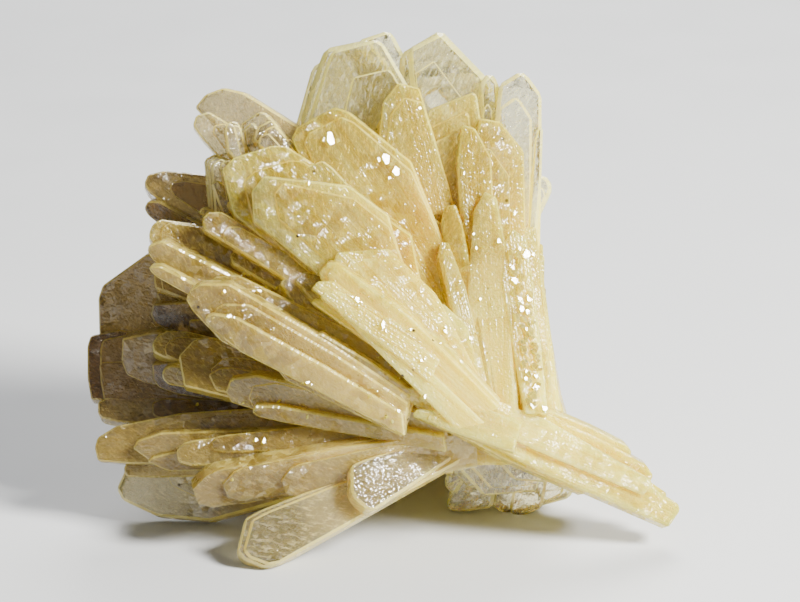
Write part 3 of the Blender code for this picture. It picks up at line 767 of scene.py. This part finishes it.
def feed(socket, value):
    """Join an output to a socket, or set the socket to a plain value."""
    if isinstance(value, bpy.types.NodeSocket):
        tree.links.new(value, socket)
    else:
        socket.default_value = value


def math_of(operation, first, second, clamp=False):
    """One step of arithmetic on outputs or plain values."""
    node = tree.nodes.new("ShaderNodeMath")
    node.operation = operation
    node.use_clamp = clamp
    feed(node.inputs[0], first)
    feed(node.inputs[1], second)
    return node.outputs[0]


def vector_of(operation, first, second):
    """The same for vectors. A distance and a dot product come out as one number."""
    node = tree.nodes.new("ShaderNodeVectorMath")
    node.operation = operation
    feed(node.inputs[0], first)
    feed(node.inputs[1], second)
    return node.outputs["Value" if operation in ("DISTANCE", "DOT_PRODUCT") else "Vector"]


def times(first, second):
    return math_of("MULTIPLY", first, second)


def without(share):
    """What is left of one when a share is taken."""
    return math_of("SUBTRACT", 1.0, share, clamp=True)


def ease(value, low, high, start=0.0, end=1.0):
    """A soft step: start below low, end above high."""
    node = tree.nodes.new("ShaderNodeMapRange")
    node.interpolation_type = "SMOOTHSTEP"
    feed(node.inputs["Value"], value)
    for name, number in (("From Min", low), ("From Max", high), ("To Min", start), ("To Max", end)):
        node.inputs[name].default_value = number
    return node.outputs["Result"]


# %% Colours and patterns
def colour(red, green, blue):
    """A colour as it is named on a screen, from 0 to 255, turned into the linear values of a shader."""
    return tuple((channel / 255) ** 2.2 for channel in (red, green, blue)) + (1.0,)


def blend_colours(share, first, second):
    """The first colour where the share is 0, the second where it is 1."""
    node = tree.nodes.new("ShaderNodeMix")
    node.data_type = "RGBA"
    feed(node.inputs[0], share)
    feed(node.inputs[6], first)         # the colour sockets follow those for numbers and vectors
    feed(node.inputs[7], second)
    return node.outputs[2]


def noise(where, scale, detail, roughness=0.5, stretch=None):
    """A noise pattern from 0 to 1. With stretch it is flat and runs one way, for a place on the grain map."""
    node = tree.nodes.new("ShaderNodeTexNoise")
    if stretch:
        node.noise_dimensions = "2D"
        where = vector_of("MULTIPLY", where, stretch)
    feed(node.inputs["Vector"], where)
    node.inputs["Scale"].default_value = scale
    node.inputs["Detail"].default_value = detail
    node.inputs["Roughness"].default_value = roughness
    return node.outputs["Fac"]


def slanted(where, angle):
    """The grain map turned by some degrees, for marks that run across the blades."""
    node = tree.nodes.new("ShaderNodeMapping")
    feed(node.inputs["Vector"], where)
    node.inputs["Rotation"].default_value = (0.0, 0.0, math.radians(angle))
    return node.outputs["Vector"]


def dots(where, scale, size):
    """Small round spots: 1 in their middle, 0 outside, of a size given as a share of their spacing."""
    node = tree.nodes.new("ShaderNodeTexVoronoi")
    feed(node.inputs["Vector"], where)
    node.inputs["Scale"].default_value = scale
    return ease(node.outputs["Distance"], size * 0.5, size, 1.0, 0.0)


# %% What a face remembers, and where it is
def remembered(name):
    """A number that each face carries."""
    node = tree.nodes.new("ShaderNodeAttribute")
    node.attribute_name = name
    return node.outputs["Fac"]


clear = remembered("clear")
smoke_and_shade = remembered("smoke_and_shade")
tone = remembered("tone")
gloss = remembered("gloss")
rim = remembered("rim")
place = tree.nodes.new("ShaderNodeTexCoord").outputs["Object"]
grain_map = tree.nodes.new("ShaderNodeUVMap")
grain_map.uv_map = "Grain"
grain = grain_map.outputs["UV"]
print("the shader reads", [item.name for item in barite.data.attributes if item.domain == "FACE"])

# %% [markdown]
# ### How clear
#
# A crystal is clearest at its tip, which grew last, and turns milky towards its root, broken up by cloudy
# patches. On a clear plate the chamfers and side faces scatter more light than the broad faces, so they
# stay brighter, and the plate is seen mostly by its outline. Fine white veils are healed cracks, and a few
# short straight streaks are scratches.

# %% Clear tips, clouds, veils and scratches
MILK_BEGINS, MILK_FULL = 12, 34         # millimetres below the tip
CLOUD_REACH = 16                        # the clouds bring it up to this much nearer to the tip
MOST_MILK = 0.62
parted = tree.nodes.new("ShaderNodeSeparateXYZ")
feed(parted.inputs[0], grain)
below_tip = parted.outputs["Y"]
clouds = noise(place, 110, 2.0, 0.6)
milky_depth = math_of("ADD", below_tip, times(clouds, CLOUD_REACH))
milk = ease(milky_depth, MILK_BEGINS, MILK_FULL, 0.0, MOST_MILK)
veils = ease(noise(slanted(grain, 35), 1.0, 3.0, 0.75, (2.0, 0.6, 1.0)), 0.46, 0.76)
scratches = ease(noise(slanted(grain, -20), 1.0, 1.0, 0.5, (7.0, 0.5, 1.0)), 0.68, 0.78)
flaws = math_of("MAXIMUM", times(veils, 0.4), times(scratches, 0.22))
clearness = times(times(clear, without(milk)), without(flaws))
edge = times(rim, ease(clear, 0.5, 0.9))
clearness = times(clearness, without(times(edge, 0.6)))
feed(shader.inputs["Transmission Weight"], clearness)

# %% [markdown]
# ### Colour
#
# The body colour is the cream of old ivory with a touch of straw. Honey colour is painted deep between the
# blades near the middle, as painted shade. Towards the left the stone turns tan, and in the blades behind a
# brown smoke: partly the stone's own smoky tint, partly painted shade on the side away from the main light.
# A random tone for each crystal keeps neighbours apart. The rims of clear plates are painted a shade
# lighter, as a painted highlight, the clear stone has hardly any colour of its own, and a few dark specks are
# other minerals that were grown over.

# %% Cream, straw, honey and smoke
CREAM = colour(245, 228, 114)
STRAW = colour(228, 201, 62)
# HONEY is the colour of the painted shade between the blades.
HONEY = colour(202, 166, 8)
# TAN and SMOKE are partly the stone's own smoky tint and partly painted shade on the side away from the main
# light.
TAN = colour(192, 164, 98)
SMOKE = colour(84, 58, 30)
WATER = colour(244, 237, 198)
SPECK = colour(40, 26, 12)
HONEY_SHADE_SPOTS = [                         # a spot of the fan, and how far the honey reaches from it
    ((-8, 2, 30), 17), ((-5, 1, 13), 11), ((-18, 1, 12), 14), ((2, 2, -4), 9), ((-31, 3, 37), 6),
]


def distance(spot):
    """Distance in millimetres from a spot of the fan."""
    return times(vector_of("DISTANCE", place, stand @ Vector(spot)), 1 / MM)


# Painted shade: a honey colour is painted into the recesses between the blades near the middle, where light
# runs through deep stone and shade falls.
painted_honey_shade = None
for spot, size in HONEY_SHADE_SPOTS:
    near = ease(distance(spot), size * 0.2, size, 1.0, 0.0)
    painted_honey_shade = near if painted_honey_shade is None else math_of("MAXIMUM", painted_honey_shade, near)
painted_honey_shade = times(painted_honey_shade, ease(clouds, 0.35, 0.6, 0.55, 1.0))
streaks = noise(grain, 1.0, 2.0, 0.65, (0.9, 0.05, 1.0))
shade = math_of("ADD", times(tone, 0.7), times(streaks, 1.6))
body = blend_colours(ease(shade, 0.7, 1.6), CREAM, STRAW)
# The painted honey shade is blended into the body colour here.
body = blend_colours(times(painted_honey_shade, 0.9), body, HONEY)
# Painted shade, with the stone's own smoky tint: blades on the left, away from the main light, are painted
# tan, and the far parts of the blades behind a dark brown.
body = blend_colours(ease(smoke_and_shade, 0.0, 0.4, 0.0, 0.75), body, TAN)
dark_smoke_and_shade = times(times(smoke_and_shade, ease(distance((0, 0, 0)), 14, 42, 0.35, 1.0)), ease(tone, 0, 1, 0.7, 1.0))
body = blend_colours(dark_smoke_and_shade, body, SMOKE)
# Painted highlight: the rims of clear plates are painted a lighter cream, and the clear colour is kept off
# them.
body = blend_colours(times(edge, 0.5), body, CREAM)
water = times(times(ease(clear, 0.75, 0.95), without(times(milk, 1.4))), without(times(smoke_and_shade, 0.8)))
body = blend_colours(times(water, without(times(edge, 0.7))), body, WATER)

# %% Dark specks
specks = times(dots(place, 260, 0.09), ease(noise(place, 60, 1.0), 0.52, 0.56))
body = blend_colours(specks, body, SPECK)
feed(shader.inputs["Base Color"], body)

# %% [markdown]
# ### Surface
#
# Fine lines run the length of every crystal, where its thin layers end, and the faces are frosted by tiny
# pits. In patches the surface is broken into small facets that each lean their own way: a Voronoi pattern
# gives every cell a random tilt, so some of them catch a light and glint. All of this is well under a
# millimetre deep, so a bump is enough. Its height is in metres here. The chips keep their smooth faces.

# %% Lines, frost and small facets
def facets(where, scale):
    """Cells with a random tilt of their own: a height that is a flat slope inside each cell."""
    cell = tree.nodes.new("ShaderNodeTexVoronoi")
    cell.voronoi_dimensions = "2D"
    feed(cell.inputs["Vector"], where)
    cell.inputs["Scale"].default_value = scale
    offset = vector_of("SUBTRACT", where, cell.outputs["Position"])
    tilt = vector_of("SUBTRACT", cell.outputs["Color"], (0.5, 0.5, 0.5))
    return vector_of("DOT_PRODUCT", offset, tilt)


LINE_DEPTH = 0.10 * MM
FROST_DEPTH = 0.16 * MM
patches = ease(noise(place, 75, 1.0), 0.46, 0.58)
lines = noise(grain, 1.0, 1.0, 0.6, (2.6, 0.10, 1.0))
frost = noise(grain, 1.0, 1.0, 0.5, (2.4, 2.0, 1.0))
relief = math_of("ADD", times(lines, LINE_DEPTH), times(frost, FROST_DEPTH))
relief = math_of("ADD", relief, times(times(facets(grain, 0.9), MM), patches))
bump = tree.nodes.new("ShaderNodeBump")
feed(bump.inputs["Strength"], times(without(gloss), ease(clear, 0.8, 1.0, 1.0, 0.5)))
bump.inputs["Distance"].default_value = 1.0
feed(bump.inputs["Height"], relief)
feed(shader.inputs["Normal"], bump.outputs["Normal"])

# %% An uneven polish
polish = ease(clouds, 0.35, 0.65, 0.18, 0.34)
polish = times(polish, without(times(patches, 0.6)))
polish = times(polish, without(times(ease(clearness, 0.3, 0.9), 0.7)))
feed(shader.inputs["Roughness"], times(polish, without(times(gloss, 0.85))))
shader.inputs["Coat Weight"].default_value = 0.2
shader.inputs["Coat Roughness"].default_value = 0.05
shader.inputs["Coat IOR"].default_value = 1.6

# %% [markdown]
# ### Depth
#
# Light spreads a few millimetres inside the milky stone, red the farthest, so thin edges glow warm. Barite
# bends light more than glass does: its index is 1.636. The base colour also tints what shines through. A
# volume that absorbs light would tint it by its depth, but takes a third more time to render.

# %% Scattering and bending
shader.inputs["Subsurface Weight"].default_value = 1.0
shader.inputs["Subsurface Radius"].default_value = (1.0, 0.9, 0.45)
shader.inputs["Subsurface Scale"].default_value = 5 * MM
shader.inputs["IOR"].default_value = 1.636
barite.data.materials.clear()
barite.data.materials.append(stone)
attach(barite, "root")
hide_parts("barite_cluster")
print("the stone's material has", len(tree.nodes), "nodes")


# %% [markdown]
# ## The floor
#
# The cluster stands on a plain pale table top, large enough to fill the view from every side. Its finish is
# a soft matt lacquer with the faintest unevenness, so that it doesn't look like a flat colour.

# %% A pale table top
TABLE_SIDE = 6.0
deselect_all()
bpy.ops.mesh.primitive_plane_add(size=TABLE_SIDE, location=GROUND)
floor = bpy.context.object
floor.name = "table_top"
lacquer = bpy.data.materials.new("pale_lacquer")
lacquer.use_nodes = True
tree = lacquer.node_tree
shader = tree.nodes["Principled BSDF"]
ground = tree.nodes.new("ShaderNodeTexCoord").outputs["Object"]
pale_grey = blend_colours(noise(ground, 3, 3.0), colour(194, 198, 204), colour(200, 204, 209))
feed(shader.inputs["Base Color"], pale_grey)
feed(shader.inputs["Roughness"], ease(noise(ground, 40, 3.0), 0.3, 0.7, 0.45, 0.55))
floor.data.materials.append(lacquer)
print("the table top is", floor.dimensions.x, "m wide")

# %% [markdown]
# ## The light
#
# Three soft boxes, as in a small studio. The main one stands high on the right in front and models the
# blades, a weak wide one on the left fills the shadows, and one behind shines through the upper plates.

# %% Soft boxes
def soft_box(name, where, size, power, tint):
    """A rectangle of light that looks at the middle of the cluster; power is in watts."""
    light = bpy.data.lights.new(name, "AREA")
    light.shape = "RECTANGLE"
    light.size, light.size_y = size
    light.energy = power
    light.color = tint
    lamp = bpy.data.objects.new(name, light)
    bpy.context.scene.collection.objects.link(lamp)
    lamp.location = where
    lamp.rotation_euler = (middle - Vector(where)).to_track_quat("-Z", "Y").to_euler()


middle = (solid_low + solid_high) / 2
soft_box("main_box", (0.50, -0.26, 0.44), (0.20, 0.20), 23.5, (1.0, 0.96, 0.87))
soft_box("fill_box", (-0.70, -0.50, 0.35), (0.60, 0.60), 0.7, (1.0, 0.99, 0.97))
soft_box("back_box", (0.10, 0.55, 0.50), (0.40, 0.30), 6.0, (1.0, 0.98, 0.95))
world = bpy.data.worlds.new("studio_air")
bpy.context.scene.world = world
world.use_nodes = True
air = world.node_tree.nodes["Background"]
air.inputs["Color"].default_value = (0.93, 0.93, 0.93, 1.0)
air.inputs["Strength"].default_value = 0.22
print("three soft boxes stand around the cluster")

# %% [markdown]
# ## The camera
#
# A long lens from a little above keeps the blades in their true proportions. It looks square at the plane of
# the fan, so it is placed in the same upright frame that the outlines were drawn in.

# %% The camera
FAR = 615                               # distance from the plane of the fan, in millimetres
VIEW_WIDTH = 123.08                     # what the view spans at that distance
VIEW_X, VIEW_Z = -12.31, 21.38          # the middle of the view, counted from the root
SENSOR = 36.0
lens = bpy.data.cameras.new("long_lens")
lens.sensor_width = SENSOR
lens.lens = SENSOR * FAR / VIEW_WIDTH
lens.clip_start = 0.01
camera = bpy.data.objects.new("camera", lens)
bpy.context.scene.collection.objects.link(camera)
seat = Matrix.Translation(Vector((VIEW_X, -FAR, VIEW_Z)) * MM)
camera.matrix_world = lean_back @ seat @ Matrix.Rotation(math.radians(90), 4, "X")
bpy.context.scene.camera = camera
print("the lens is", round(lens.lens, 1), "mm long")
